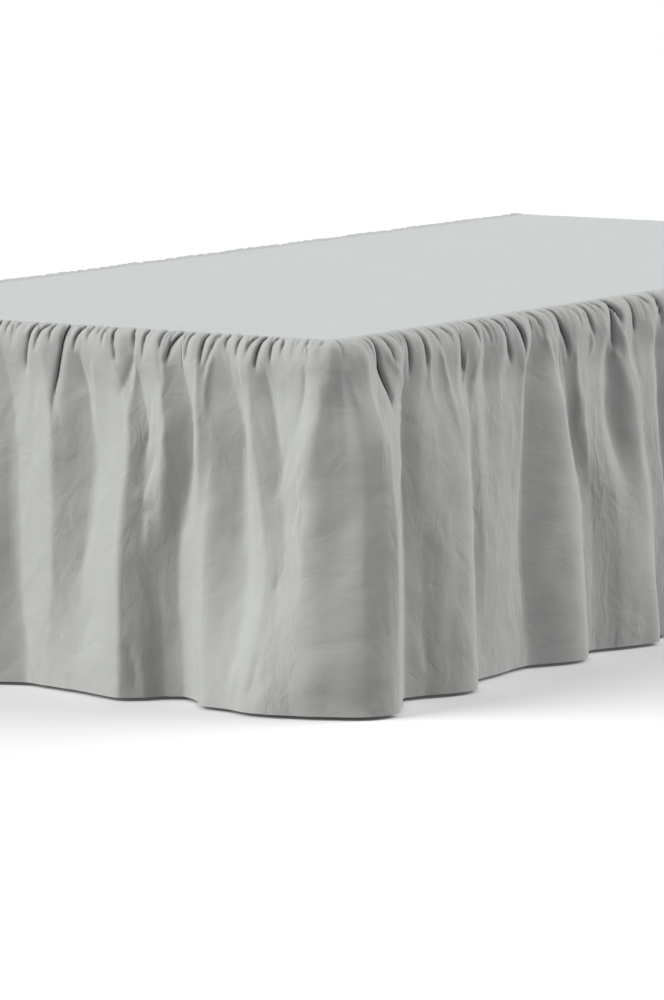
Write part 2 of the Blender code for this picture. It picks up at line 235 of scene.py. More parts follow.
# Ridges and troughs that ride on the folds: long edges, streaks and pinches. Each row is
# a curve through three places, its widths to the left and right, and its height, which is
# minus for a trough; centimetres.
Crease = namedtuple("Crease", "top_at top_run mid_at mid_run low_at low_run left right height")
NEAR_CREASES = table(
    Crease,
    (-51.5, 15, -52, 30, -49.8, 43, 0.8, 0.3, -0.2),
    (-48.4, 3, -48.9, 5.5, -49.2, 9.6, 1.2, 0.3, -0.4),
    (-46.8, 9, -47.4, 12, -48, 15.5, 0.7, 0.5, -0.15),
    (-42.4, 2.6, -43, 8, -44.2, 15.5, 0.3, 0.7, 0.35),
    (-41, 3.8, -39.6, 8.5, -38, 18, 1.2, 0.3, -0.4),
    (-37.6, 4.6, -37.9, 9, -36.8, 18, 0.4, 1.6, 0.2),
    (-37.7, 15, -37.4, 27, -42.4, 40.5, 0.9, 0.35, -0.22),
    (-36, 38, -38, 43, -39.4, 49, 0.9, 0.7, -0.15),
    (-31.2, 4.2, -32.2, 8, -33.9, 12.6, 0.5, 0.5, -0.35),
    (-30.7, 2.8, -31.2, 9, -31.4, 19, 0.3, 0.9, 0.4),
    (-31, 19, -31.6, 34, -30.4, 46, 0.6, 0.3, 0.28),
    (-29.8, 43, -28.9, 47.5, -28.1, 51.5, 1, 0.2, -0.3),
    (-26.9, 2.2, -26.3, 8, -26.6, 17, 0.3, 0.8, 0.25),
    (-27, 17.4, -27.9, 20.6, -29, 23.6, 0.7, 0.25, -0.35),
    (-25.6, 14, -26, 20, -26.9, 24.4, 0.5, 0.35, 0.3),
    (-29.6, 23.4, -28.5, 24.6, -26.8, 25.4, 0.6, 0.6, 0.35),
    (-29.4, 24.6, -28, 25.8, -26.4, 26.6, 0.6, 0.6, -0.35),
    (-28.5, 25.8, -28.2, 28, -28.4, 31, 0.3, 0.8, 0.2),
    (-23.6, 21, -24.6, 33, -24.4, 46, 0.8, 0.3, -0.18),
    (-28.2, 10, -28.6, 17, -29.8, 23, 0.5, 0.3, -0.3),
    (-21, 3.2, -20.6, 12, -21.2, 23, 0.3, 1.2, 0.45),
    (-18, 3.2, -19.4, 8, -18.6, 14, 0.9, 0.5, 0.35),
    (-13.7, 2.8, -12.9, 10, -11, 21, 0.3, 0.8, 0.35),
    (-14.3, 3.8, -13.8, 14, -13.9, 31.5, 0.8, 0.25, -0.3),
    (-14.5, 26, -14, 29, -14.7, 32.2, 0.5, 0.25, -0.3),
    (-16, 30.6, -14.2, 33.2, -16.8, 36.4, 1.2, 0.25, -0.25),
    (-15.9, 35.4, -15, 38, -15.6, 40.8, 0.7, 0.25, -0.2),
    (-12.4, 35.6, -13.4, 39.5, -14.6, 43.4, 0.3, 0.5, 0.2),
    (-11.4, 44.6, -11.8, 48, -12.4, 51.6, 0.9, 0.25, 0.28),
    (-7.8, 43, -8.6, 47.6, -10.2, 51.4, 0.8, 0.4, -0.22),
    (-10.3, 24.2, -10.1, 26.8, -9.6, 29.4, 0.4, 0.3, -0.22),
    (-5.6, 15, -6.9, 20, -7.8, 25, 1.3, 0.3, -0.28),
    (-5.3, 30.8, -6.3, 33.6, -7.7, 36.4, 0.35, 0.35, -0.22),
    (-10.6, 4.5, -9, 10, -6.6, 20, 1, 0.4, -0.35),
    (-3.4, 4, -3.9, 10, -5.4, 16.5, 0.5, 0.8, -0.35),
    (-2, 5.5, -2, 14, -6, 23.5, 0.9, 0.9, 0.45),
    (-1.9, 14.5, -2.4, 19.5, -4.2, 23.8, 0.5, 0.4, 0.3),
    (-3.3, 22.4, -3.9, 24.6, -4.4, 27.4, 0.5, 0.4, -0.3),
    (-2.9, 23.4, -3.5, 25.4, -4.1, 27.2, 0.3, 0.3, 0.25),
    (-3.6, 26, -2.5, 29.2, -2.1, 35.4, 0.7, 0.3, 0.2),
    (-2.3, 23, -1.6, 25, -2.1, 28, 0.5, 0.3, 0.2),
    (-1.4, 10.8, -0.6, 12.2, 0.2, 14.2, 0.3, 0.3, -0.14),
    (-0.8, 42, -1.5, 47, -2.1, 51, 0.8, 0.4, 0.22),
    (-0.9, 47.2, 0.2, 49.8, 1.4, 51.6, 0.8, 0.25, -0.3),
    (0.1, 47.2, 0.7, 48.9, 1.2, 50.6, 0.3, 0.2, -0.16),
    (-0.9, 1.6, -0.9, 5, -1.2, 10, 1.5, 1.5, 0.45),
    (0.1, 4, 0.6, 7.5, 1.5, 12.5, 0.5, 0.3, 0.28),
    (1.9, 2.4, 2.4, 6, 1.5, 18, 0.5, 0.3, 0.22),
    (8.2, 3, 10, 5.6, 11.6, 10, 0.4, 0.5, 0.3),
    (12.4, 3.2, 10.6, 13, 9.8, 27, 0.6, 0.3, 0.35),
    (9.4, 24, 8.2, 36, 7, 51, 0.6, 0.3, 0.2),
    (12.8, 3, 12.6, 8, 11, 14.5, 0.4, 0.6, -0.3),
    (19.3, 3, 19.4, 8, 21.6, 14, 0.6, 0.4, 0.3),
    (21.4, 2.4, 23.4, 8, 26.2, 19, 0.9, 0.4, 0.45),
    (30.2, 4.6, 29.2, 10, 27.6, 18, 0.6, 0.3, 0.4),
    (33, 3.6, 31.6, 8, 30, 15, 0.4, 0.7, 0.3),
    (44.2, 5, 45.2, 11, 45.2, 24, 0.9, 0.3, 0.35),
    (50, 4, 51.6, 7, 54, 13, 0.5, 0.4, 0.3),
    (52.4, 4.8, 53.6, 7.6, 55.6, 12, 0.4, 0.4, 0.28),
    (55.6, 6, 57, 12, 59.6, 23, 0.9, 0.3, 0.35),
    (63.6, 4.8, 63.9, 8.6, 60, 11.8, 0.5, 0.5, 0.3),
    (59.2, 6.2, 59.6, 14, 60.6, 21, 0.4, 0.5, 0.3),
    (65.6, 3.8, 69.6, 7, 71.8, 16, 0.7, 0.4, 0.32),
    (71, 3.8, 74, 10, 75.8, 24, 0.9, 0.35, 0.4),
    (78.6, 3.8, 81.8, 8, 81.2, 24, 0.8, 0.3, 0.38),
)

# Elsewhere crest and hollow take turns at about this pitch, with the crests, hollows and
# corners standing out as given at the four levels, swaying and swelling by slow waves.
PLAIN_HALF_PITCH = 0.085
PLAIN_MARGIN = 0.034
PLAIN_CREST_CM = (1.5, 3.0, 4.6, 5.8)
PLAIN_HOLLOW_CM = (0.5, 0.5, 0.7, 1.0)
PLAIN_CORNER_CM = (1.2, 2.6, 4.2, 6.0)
PLAIN_END_CM = (1.2, 1.2, 1.2, 1.2)
PLAIN_SWAY_CM = (1.6, 0.9, 0.2, -0.5)
SWAY_WAVE, SWAY_SHIFT = 2.4, 5.0
PLAIN_SWELL = 0.22
SWELL_WAVE, SWELL_SHIFT = 1.7, 0.8

# Between a crest and a hollow the cloth is this much straight rather than rounded. Folds
# as wide as this on the near side are round at the crest instead.
FOLD_STRAIGHT = 0.65
FOLD_PEAK = 0.9
PEAK_WIDTHS = (0.020, 0.070)
SIDE_PEAK_FROM = 0.05

# The cloth is meshed in squares of this size, which are cut finer where it is seen from
# close by, and finer still where it is gathered or has sharp folds. Rows of cloth that
# lie as near each other as the last of these values hang as one.
MESH_STEP = 0.017
SEEN_FROM, SEEN_TO = -0.59, 0.92
CLOSE_TO = 0.80
SHARP_TO = 0.13
SHARP_RUN = 0.17
GATHERED_RUN = 0.100
SEAM_BAND_RUN = 0.034
ROW_STEP = 0.1 * MM

# Every slot: where it is full, how wide and deep it is, how far its lips lap over it, and
# the depth at which the painted shade in it is darkest and how much that shade darkens the cloth's colour
SLOT_TOP_RUN = 0.020
SLOT_REACH = 0.14
SLOT_WIDTH = 0.0020
SLOT_FLARE = 0.024
SLOT_EDGE = 1.15
SLOT_GAIN = 1.35
SLOT_LAP = 0.75
SLOT_LAP_TURN = 1.55
SLOT_LAP_SPAN = (0.0, 0.06)
# Painted shade: in the slots the cloth's colour is darkened to stand for the shadow deep in them
PAINTED_SHADE_DEPTH = 0.010
PAINTED_SHADE_STRENGTH = 0.48

# Away from the near stretch the slots are drawn from these ranges.
PLAIN_SLOT_PITCH = 0.026
PLAIN_SLOT_STEPS = (0.55, 1.5)
PLAIN_SLOT_LEANS = (-2.2, 2.2)
PLAIN_SLOT_LENGTHS = (2.0, 8.0)
PLAIN_SLOT_DEPTHS = (0.25, 0.75)

# Fine pleats between the slots, right under the seam
PLEAT_PITCH = 0.011
PLEAT_STEPS = (0.5, 1.6)
PLEAT_LEAN_SPREAD = 0.4
PLEAT_LEAN_SIDE, PLEAT_LEAN_FOOT = 0.9, -0.3
PLEAT_LENGTHS = (0.9, 3.2)
PLEAT_DEPTHS = (0.08, 0.26)

# The tubes of cloth between the slots
GATHER_LIFT = 0.0070
GATHER_LIFT_RUN = 0.032
GATHER_LIFT_FROM, GATHER_LIFT_TO = 0.044, 0.105

# Creases: how sharp, how they widen and fade on their way down, and how near to the base
# the cloth may come
CREASE_EDGE = 1.2
CREASE_TOP_WIDTH, CREASE_WIDENING = 0.7, 0.6
CREASE_FADE_IN, CREASE_FADE_OUT = 0.2, 0.6
KEPT_CLEAR = 0.0026

# Faint creases strewn over the ruffle: how many near the seen corner and from where to
# where, how many in all, and the ranges that each is drawn from
STREWN_NEAR = (200, -0.7, 1.1)
STREWN_ALL = 160
STREWN_TOP, STREWN_OFF_HEM = 0.06, 0.02
STREWN_TURN = 0.55
STREWN_LENGTHS = (0.03, 0.11)
STREWN_BOW = 0.006
STREWN_WIDTHS = (0.002, 0.006)
STREWN_HEIGHTS_MM = (0.4, 1.4)

# Gentle waves of the worn cloth: how many, how long and how steep each is
CRUMPLE_WAVES = 60
CRUMPLE_LENGTHS = (0.022, 0.090)
CRUMPLE_SPREAD = 0.75
CRUMPLE_SLOPE = 0.0012
CRUMPLE_RISE = (0.02, 0.10)

# Long low wrinkles of the deck near the foot. Each row runs from one place to another,
# bows aside and is as wide as given in centimetres; its height is in millimetres.
DeckCrease = namedtuple("DeckCrease", "from_x from_y to_x to_y bow width height")
DECK_CREASES = table(
    DeckCrease,
    (-34, 6, -12, 3.4, 0.6, 0.9, 1.3),
    (-40, 14, -20, 11, -0.8, 1.1, 1.1),
    (-8, 18, 18, 14, 1, 1.3, 1.4),
    (4, 8, 22, 5, -0.6, 1, 0.9),
    (24, 4, 38, 9, 0.5, 0.8, 1.1),
    (30, 26, 40, 40, 0.8, 1.1, 1.3),
    (-30, 30, 2, 26, 1.2, 1.5, 1.4),
    (12, 50, 36, 62, -1, 1.5, 1.3),
    (-36, 70, -10, 62, 1, 1.6, 1.3),
    (-12, 96, 24, 104, 1.4, 1.6, 1.4),
    (-30, 140, 8, 132, -1.4, 1.6, 1.3),
    (10, 164, 34, 172, 1, 1.4, 1.3),
)
DECK_CELLS = (100, 200)
DECK_CRUMPLE = 0.35
DECK_SINK = 0.0004
HEM_RISE = 0.0006
HEM_WIDTHS = (0.022, 0.019)

# The shared weave: how high its threads stand, how its uneven yarns run, and how strong
# folded crease lines are beside the soft crinkles
WEAVE_NAME = "Percale weave"
WEAVE_HEIGHT = 0.00004
YARN_STRETCHES = ((9.0, 700.0, 1.0), (700.0, 9.0, 1.0))
YARN_TONE = 0.8
FOLDED_SHARE = 1.8

# Thread pitch and bump distance of each cloth
PERCALE_WEAVE = (0.00035, 1.0)
COVER_WEAVE = (0.0016, 4.0)

# The grain of the legs
GRAIN_STRETCH = (60, 60, 4)
GRAIN_TONES = (0.72, 1.15)
GRAIN_HEIGHT = 0.0003

# The camera aims a little inside the deck's corner.
AIM_INSET = 0.0025


# ---------------------------------------------------------------- folds of the ruffle


def plain_folds(start, stop, crest_first):
    """Crest and hollow rows for a plain stretch, uneven by a slow rule."""
    count = round((stop - start) / PLAIN_HALF_PITCH)
    rows = []
    for step in range(count):
        place = start + (stop - start) * (step + 0.5) / count
        sway = math.sin(SWAY_WAVE * step + SWAY_SHIFT * start)
        swell = 1.0 + PLAIN_SWELL * math.sin(SWELL_WAVE * step + SWELL_SHIFT + start)
        is_crest = (step % 2 == 0) == crest_first
        outs = PLAIN_CREST_CM if is_crest else PLAIN_HOLLOW_CM
        numbers = []
        for shift, out in zip(PLAIN_SWAY_CM, outs):
            numbers += [place / CM + sway * shift, out * swell]
        rows.append(Fold(*numbers))
    return rows


def upright_fold(place, outs):
    """One fold line that stays at the same place from shoulder to hem."""
    return Fold(*(number for out in outs for number in (place / CM, out)))


def all_folds():
    """Every fold from the far head end, round the foot, to the near head end."""
    first_near = NEAR_FOLDS[0].hem_at * CM - PLAIN_MARGIN
    last_near = NEAR_FOLDS[-1].hem_at * CM + PLAIN_MARGIN
    return [
        upright_fold(FAR_END, PLAIN_END_CM),
        *plain_folds(FAR_END + PLAIN_MARGIN, FAR_CORNER - PLAIN_MARGIN, crest_first=False),
        upright_fold(FAR_CORNER, PLAIN_CORNER_CM),
        *plain_folds(FAR_CORNER + PLAIN_MARGIN, first_near, crest_first=False),
        *NEAR_FOLDS,
        *plain_folds(last_near, NEAR_END - PLAIN_MARGIN, crest_first=True),
        upright_fold(NEAR_END, PLAIN_END_CM),
    ]


def curve_slopes(places, values):
    """Slopes of a curve through the points that never swings past them."""
    steps = np.diff(values, axis=0) / np.diff(places, axis=0)
    turning = steps[:-1] * steps[1:] <= 0
    total = np.where(turning, 1.0, steps[:-1] + steps[1:])
    slopes = np.zeros_like(values)
    slopes[1:-1] = np.where(turning, 0.0, 2 * steps[:-1] * steps[1:] / total)
    return slopes


def curve_value(before, after, slope_before, slope_after, width, share):
    """Value part of the way along one span of such a curve."""
    rest = 1 - share
    return (
        before * (1 + 2 * share) * rest * rest
        + slope_before * width * share * rest * rest
        + after * (3 - 2 * share) * share * share
        - slope_after * width * rest * share * share
    )


class FoldSections:
    """The ruffle's section at any height, read smoothly between the four levels."""

    def __init__(self):
        rows = np.array(all_folds()) * CM
        levels = np.array(LEVEL_DROPS)[:, None]
        self.places = rows[:, 0::2].T
        self.outs = rows[:, 1::2].T
        self.place_slopes = curve_slopes(levels, self.places)
        self.out_slopes = curve_slopes(levels, self.outs)

    def at_drop(self, drop):
        """Places and stand-offs of all the folds at one height."""
        i = int(np.clip(np.searchsorted(LEVEL_DROPS, drop) - 1, 0, len(LEVEL_DROPS) - 2))
        width = LEVEL_DROPS[i + 1] - LEVEL_DROPS[i]
        share = min(1.0, max(0.0, (drop - LEVEL_DROPS[i]) / width))
        places, outs = (
            curve_value(values[i], values[i + 1], slopes[i], slopes[i + 1], width, share)
            for values, slopes in ((self.places, self.place_slopes), (self.outs, self.out_slopes))
        )
        return places, np.maximum(NEAREST, outs)

    def read(self, home, drop):
        """Place and stand-off, at a height, of cloth whose places at the shoulder are given."""
        shoulder = self.places[0]
        i = np.clip(np.searchsorted(shoulder, home, side="right") - 1, 0, len(shoulder) - 2)
        share = np.clip((home - shoulder[i]) / (shoulder[i + 1] - shoulder[i]), 0, 1)
        places, outs = self.at_drop(drop)
        slopes = curve_slopes(places, outs)
        width = places[i + 1] - places[i]
        place = places[i] + width * share
        out = curve_value(outs[i], outs[i + 1], slopes[i], slopes[i + 1], width, share)
        on_side = smooth_step(home, 0, SIDE_PEAK_FROM)
        peak = 1 + FOLD_PEAK * smooth_step(width, *PEAK_WIDTHS) * on_side
        rising = outs[i + 1] > outs[i]
        lean = np.where(rising, 1 - (1 - share) ** peak, share**peak)
        straight = outs[i] + (outs[i + 1] - outs[i]) * lean
        return place, out + FOLD_STRAIGHT * (straight - out)


def outline(at):
    """Points and outward directions on the side of the base, for places along its outline."""
    mirrored = at < FAR_CORNER / 2
    run = np.where(mirrored, FAR_CORNER - at, at)
    on_side = run >= CORNER_ARC / 2
    on_foot = run <= -CORNER_ARC / 2
    turn = np.clip(run / BASE_CORNER_RADIUS - math.pi / 4, -math.pi / 2, 0)
    outward = np.stack([np.cos(turn), np.sin(turn)], axis=1)
    centre = np.array([HALF_WIDTH - BASE_CORNER_RADIUS, BASE_CORNER_RADIUS - HALF_LENGTH])
    point = centre + outward * BASE_CORNER_RADIUS
    point[:, 1] += np.where(on_side, run - CORNER_ARC / 2, 0)
    point[:, 0] -= np.where(on_foot, -CORNER_ARC / 2 - run, 0)
    side = np.where(mirrored, -1.0, 1.0)
    point[:, 0] *= side
    outward[:, 0] *= side
    return point + np.array([BASE_MIDDLE_X, BASE_MIDDLE_Y]), outward


def seam_inset(at):
    """The seam lies near the edge at the foot and further in along the sides."""
    distance = np.maximum(at, FAR_CORNER - at)
    share = smooth_step(distance, -SEAM_BLEND / 2, SEAM_BLEND / 2)
    return SEAM_INSET_FOOT + (SEAM_INSET_SIDE - SEAM_INSET_FOOT) * share


def hang(home, run, sections):
    """Place along the outline, position and clearance of the cloth, row by row."""
    at = np.zeros_like(home)
    reach = np.zeros_like(home)
    height = np.zeros_like(home)
    rows = np.round(run / ROW_STEP)
    for row in np.unique(rows):
        here = rows == row
        down = float(np.mean(run[here]))
        drop = max(SHOULDER_DROP, SHOULDER_DROP + down - ROLL_RUN)
        place, out = sections.read(home[here], drop)
        at[here] = place
        if down >= ROLL_RUN:
            reach[here] = out
            height[here] = SEAM_Z - drop
            continue
        inset = seam_inset(place)
        turn = math.pi / 2 * max(0.0, down - SEAM_LEAD) / (ROLL_RUN - SEAM_LEAD)
        lead = inset - min(down, SEAM_LEAD)
        reach[here] = (out + lead) * math.sin(turn) - lead
        rise = SHOULDER_PUFF * math.sin(2 * turn) - SHOULDER_DROP * (1 - math.cos(turn))
        height[here] = SEAM_Z + rise
    point, outward = outline(at)
    spot = np.column_stack([point + outward * reach[:, None], height])
    return at, spot, bed_clearance(reach, height)


# ---------------------------------------------------------------- gathers and creases


def smooth_step(value, start, stop):
    """0 before the start, 1 after the stop, and a soft rise between."""
    share = np.clip((value - start) / (stop - start), 0, 1)
    return share * share * (3 - 2 * share)


def bed_clearance(reach, height):
    """How far cloth at this reach from the side and this height is from the base."""
    over = height - BASE_HIGH.z
    beside = np.where(over <= 0, reach, np.hypot(np.maximum(reach, 0), np.maximum(over, 0)))
    return np.where(reach <= 0, over, beside)


def plain_slots(generator, start, stop):
    """Slots by rule for a stretch that is out of sight, uneven in place and depth."""
    slots = []
    place = start
    while place < stop:
        place += PLAIN_SLOT_PITCH * generator.uniform(*PLAIN_SLOT_STEPS)
        lean = generator.uniform(*PLAIN_SLOT_LEANS)
        length = generator.uniform(*PLAIN_SLOT_LENGTHS)
        slots.append(Slot(place / CM, lean, length, generator.uniform(*PLAIN_SLOT_DEPTHS)))
    return slots


def fine_pleats(generator, start, stop):
    """Short shallow slots close together, all along the seam."""
    pleats = []
    place = start
    while place < stop:
        place += PLEAT_PITCH * generator.uniform(*PLEAT_STEPS)
        lean = generator.gauss(0, PLEAT_LEAN_SPREAD)
        lean += PLEAT_LEAN_SIDE if place > 0 else PLEAT_LEAN_FOOT
        length = generator.uniform(*PLEAT_LENGTHS)
        pleats.append(Slot(place / CM, lean, length, generator.uniform(*PLEAT_DEPTHS)))
    return pleats


def all_slots(generator):
    """Every slot under the seam, from the far head end to the near one."""
    first, last = NEAR_SLOTS[0].at * CM, NEAR_SLOTS[-1].at * CM
    return [
        *plain_slots(generator, FAR_END, first - PLAIN_SLOT_PITCH),
        *NEAR_SLOTS,
        *plain_slots(generator, last, NEAR_END - PLAIN_SLOT_PITCH),
        *fine_pleats(generator, SEEN_FROM, SEEN_TO),
    ]


def tube_lift(run):
    """The cloth stands out in small tubes under the seam."""
    raised = smooth_step(run, 0, GATHER_LIFT_RUN)
    return GATHER_LIFT * raised * (1 - smooth_step(run, GATHER_LIFT_FROM, GATHER_LIFT_TO))


def slot_depth(at, run, slots):
    """How deep the narrow slots between the tubes go."""
    total = np.zeros_like(at)
    for slot in slots:
        length = slot.length * CM
        beside = np.abs(at - slot.at * CM) < SLOT_REACH
        near = np.flatnonzero((run < SLOT_TOP_RUN + length) & beside)
        below = np.maximum(0, run[near] - SLOT_TOP_RUN)
        share = below / length
        middle = (slot.at + slot.lean * (1 - (1 - share) ** 2)) * CM
        across = np.abs(at[near] - middle) / (SLOT_WIDTH + SLOT_FLARE * below)
        fade = smooth_step(run[near], 0, SLOT_TOP_RUN) * (1 - share**2)
        total[near] += SLOT_GAIN * slot.depth * CM * fade * np.exp(-(across**SLOT_EDGE))
    return total


def crease_lift(at, run, creases):
    """Ridges and troughs along curves, steeper to one side than to the other."""
    total = np.zeros_like(at)
    for row in creases:
        values = np.array(row) * CM
        tops, lows = values[0:6:2], values[1:6:2]
        near = np.flatnonzero((run > lows[0]) & (run < lows[2]))
        down = run[near]
        middle = np.zeros_like(down)
        for i in range(3):
            weight = np.ones_like(down)
            for j in range(3):
                if j != i:
                    weight *= (down - lows[j]) / (lows[i] - lows[j])
            middle += tops[i] * weight
        share = (down - lows[0]) / (lows[2] - lows[0])
        across = at[near] - middle
        spread = CREASE_TOP_WIDTH + CREASE_WIDENING * share
        width = np.where(across < 0, values[6], values[7]) * spread
        fade = smooth_step(share, 0, CREASE_FADE_IN) * (1 - smooth_step(share, CREASE_FADE_OUT, 1))
        total[near] += values[8] * fade * np.exp(-((np.abs(across) / width) ** CREASE_EDGE))
    return total


def seeded_creases(generator, count, start, stop):
    """Faint short creases of crumpled cotton, strewn over the ruffle."""
    rows = []
    for _ in range(count):
        at = generator.uniform(start, stop)
        run = generator.uniform(STREWN_TOP, HEM_RUN - STREWN_OFF_HEM)
        angle = generator.gauss(0, STREWN_TURN)
        length = generator.uniform(*STREWN_LENGTHS)
        ends = (at, run, at + length * math.sin(angle), run + length * math.cos(angle))
        bow = generator.uniform(-STREWN_BOW, STREWN_BOW)
        width = generator.uniform(*STREWN_WIDTHS)
        height = generator.choice((-1, 1)) * generator.uniform(*STREWN_HEIGHTS_MM) * MM
        rows.append((*ends, bow, width, height))
    return rows


def crumple(at, run, generator):
    """A gentle unevenness of worn cotton, as a sum of many soft waves."""
    total = np.zeros_like(at)
    for _ in range(CRUMPLE_WAVES):
        length = generator.uniform(*CRUMPLE_LENGTHS)
        angle = generator.gauss(0, CRUMPLE_SPREAD)
        phase = generator.uniform(0, 2 * math.pi)
        line = at * math.cos(angle) + run * math.sin(angle)
        total += CRUMPLE_SLOPE * length * np.sin(2 * math.pi * line / length + phase)
    return total * smooth_step(run, *CRUMPLE_RISE)


def crease_heights(at, run, rows):
    """Sum of soft ridges and troughs, each along a slightly bowed line."""
    total = np.zeros_like(at)
    for from_at, from_run, to_at, to_run, bow, width, height in rows:
        line = np.array([to_at - from_at, to_run - from_run])
        length = float(np.hypot(*line))
        line = line / length
        along = ((at - from_at) * line[0] + (run - from_run) * line[1]) / length
        across = (at - from_at) * line[1] - (run - from_run) * line[0]
        across = across - bow * 4 * along * (1 - along)
        ends = np.clip(along, 0, 1)
        taper = np.clip(1 - (2 * ends - 1) ** 4, 0, 1) * ((along > 0) & (along < 1))
        total += height * taper * np.exp(-(np.abs(across / width) ** CREASE_EDGE))
    return total


# ---------------------------------------------------------------- cloth meshes


def cut_cells(mesh_data, is_wanted, across):
    """Halve the wanted cells of a flat grid, across or along the strip."""
    axis = 0 if across else 1
    edges = []
    for edge in mesh_data.edges:
        first, second = edge.verts
        lies_across = not math.isclose(first.co[axis], second.co[axis], abs_tol=MM / 1000)
        if lies_across and is_wanted((first.co + second.co) / 2):
            edges.append(edge)
    bmesh.ops.subdivide_edges(mesh_data, edges=edges, cuts=1, use_grid_fill=True)


def flat_strip():
    """The ruffle as a flat strip: x is the place at the shoulder, y the run from the seam."""
    strip = bmesh.new()
    bmesh.ops.create_grid(
        strip,
        x_segments=round((NEAR_END - FAR_END) / MESH_STEP),
        y_segments=round(HEM_RUN / MESH_STEP),
        size=0.5,
    )
    for vertex in strip.verts:
        home = FAR_END + (NEAR_END - FAR_END) * (vertex.co.x + 0.5)
        vertex.co = (home, HEM_RUN * (0.5 - vertex.co.y), 0)

    def seen(spot):
        return SEEN_FROM < spot.x < SEEN_TO

    def gathered(spot):
        return spot.y < GATHERED_RUN

    def close(spot):
        gathers = gathered(spot) and spot.x < CLOSE_TO
        folds = spot.y < SHARP_RUN and spot.x < SHARP_TO
        return spot.x > SEEN_FROM and (gathers or folds)

    cut_cells(strip, lambda spot: seen(spot) or gathered(spot), across=True)
    cut_cells(strip, seen, across=True)
    cut_cells(strip, lambda spot: seen(spot) or spot.y < ROLL_RUN, across=False)
    cut_cells(strip, close, across=True)
    cut_cells(strip, lambda spot: seen(spot) and gathered(spot), across=False)
    cut_cells(strip, lambda spot: seen(spot) and spot.y < SEAM_BAND_RUN, across=False)
    return strip


def add_piece(name, mesh_data, material):
    """Turn a bmesh into a smooth named piece with its material and crisp open edges."""
    for face in mesh_data.faces:
        face.smooth = True
    for edge in mesh_data.edges:
        edge.smooth = not edge.is_boundary
    mesh = bpy.data.meshes.new(name)
    mesh_data.to_mesh(mesh)
    mesh_data.free()
    mesh.materials.append(material)
    piece = bpy.data.objects.new(name, mesh)
    bpy.context.scene.collection.objects.link(piece)
    return piece


def read_vectors(collection, name):
    """One vector of each of a mesh's vertices, as the rows of an array."""
    flat = np.zeros(len(collection) * 3)
    collection.foreach_get(name, flat)
    return flat.reshape(-1, 3)


def write_places(mesh, places):
    """Move the mesh's vertices to the places in an array."""
    mesh.vertices.foreach_set("co", places.ravel())
    mesh.update()


def write_cloth_map(mesh, across, down):
    """Map each vertex to its place on the flat cloth, in metres."""
    layer = mesh.uv_layers.new(name="cloth")
    corners = np.zeros(len(mesh.loops), dtype=np.int32)
    mesh.loops.foreach_get("vertex_index", corners)
    layer.uv.foreach_set("vector", np.column_stack([across, down])[corners].ravel())


def thicken(piece, thickness):
    """Give the sheet its thickness, half to either side."""
    wall = piece.modifiers.new("thickness", "SOLIDIFY")
    wall.thickness = thickness
    wall.offset = 0.0


def build_ruffle(sizes, material):
    """The gathered strip: flat grid, hung in its folds, then gathered and creased."""
    ruffle = add_piece("ruffle_cloth", flat_strip(), material)
    mesh = ruffle.data
    flat = read_vectors(mesh.vertices, "co")
    home, run = flat[:, 0].copy(), flat[:, 1].copy()
    at, spot, clearance = hang(home, run, FoldSections())
    write_places(mesh, spot)
    normals = read_vectors(mesh.vertex_normals, "vector")
    generator = random.Random(sizes.seed)
    lift = crease_heights(at, run, seeded_creases(generator, *STREWN_NEAR))
    lift += crease_heights(at, run, seeded_creases(generator, STREWN_ALL, FAR_END, NEAR_END))
    lift += crumple(at, run, generator)
    slots = slot_depth(at, run, all_slots(generator))
    lift += tube_lift(run) - slots + crease_lift(at, run, NEAR_CREASES)
    lift = np.maximum(lift, np.minimum(0, KEPT_CLEAR - clearance))
    spot += normals * lift[:, None]
    outward = outline(at)[1]
    lap = slots * (SLOT_LAP - SLOT_LAP_TURN * smooth_step(at, *SLOT_LAP_SPAN))
    spot[:, 0] += lap * outward[:, 1]
    spot[:, 1] -= lap * outward[:, 0]
    write_places(mesh, spot)
    write_cloth_map(mesh, home * sizes.fullness, run)
    # Painted shade: a mask, full where a slot is deepest, that darkens the cloth's colour in the slots in
    # place of their shadow
    painted_slot_shade = mesh.attributes.new("painted_slot_shade", "FLOAT", "POINT")
    painted_slot_shade.data.foreach_set("value", np.clip(slots / PAINTED_SHADE_DEPTH, 0, 1) ** 2)
    thicken(ruffle, sizes.thickness)
    return ruffle


def deck_spot(across, along):
    """Place on the deck, with its foot corners rounded as the seam runs."""
    across *= HALF_WIDTH - SEAM_INSET_SIDE
    low = BASE_LOW.y + SEAM_INSET_FOOT
    y = low + (DECK_HIGH.y - low) * along
    corner_x = HALF_WIDTH - BASE_CORNER_RADIUS
    corner_y = BASE_LOW.y + BASE_CORNER_RADIUS
    sideways = (abs(across) - corner_x) / (BASE_CORNER_RADIUS - SEAM_INSET_SIDE)
    footward = (corner_y - y) / (BASE_CORNER_RADIUS - SEAM_INSET_FOOT)
    if sideways > 0 and footward > 0:
        east = sideways * math.sqrt(1 - footward**2 / 2)
        south = footward * math.sqrt(1 - sideways**2 / 2)
        turn = math.atan2(south, east)
        inset = float(seam_inset(np.array([(math.pi / 4 - turn) * BASE_CORNER_RADIUS]))[0])
        reach = math.hypot(east, south) * (BASE_CORNER_RADIUS - inset)
        across = math.copysign(corner_x + reach * math.cos(turn), across)
        y = corner_y - reach * math.sin(turn)
    return Vector((BASE_MIDDLE_X + across, y, DECK_HIGH.z))


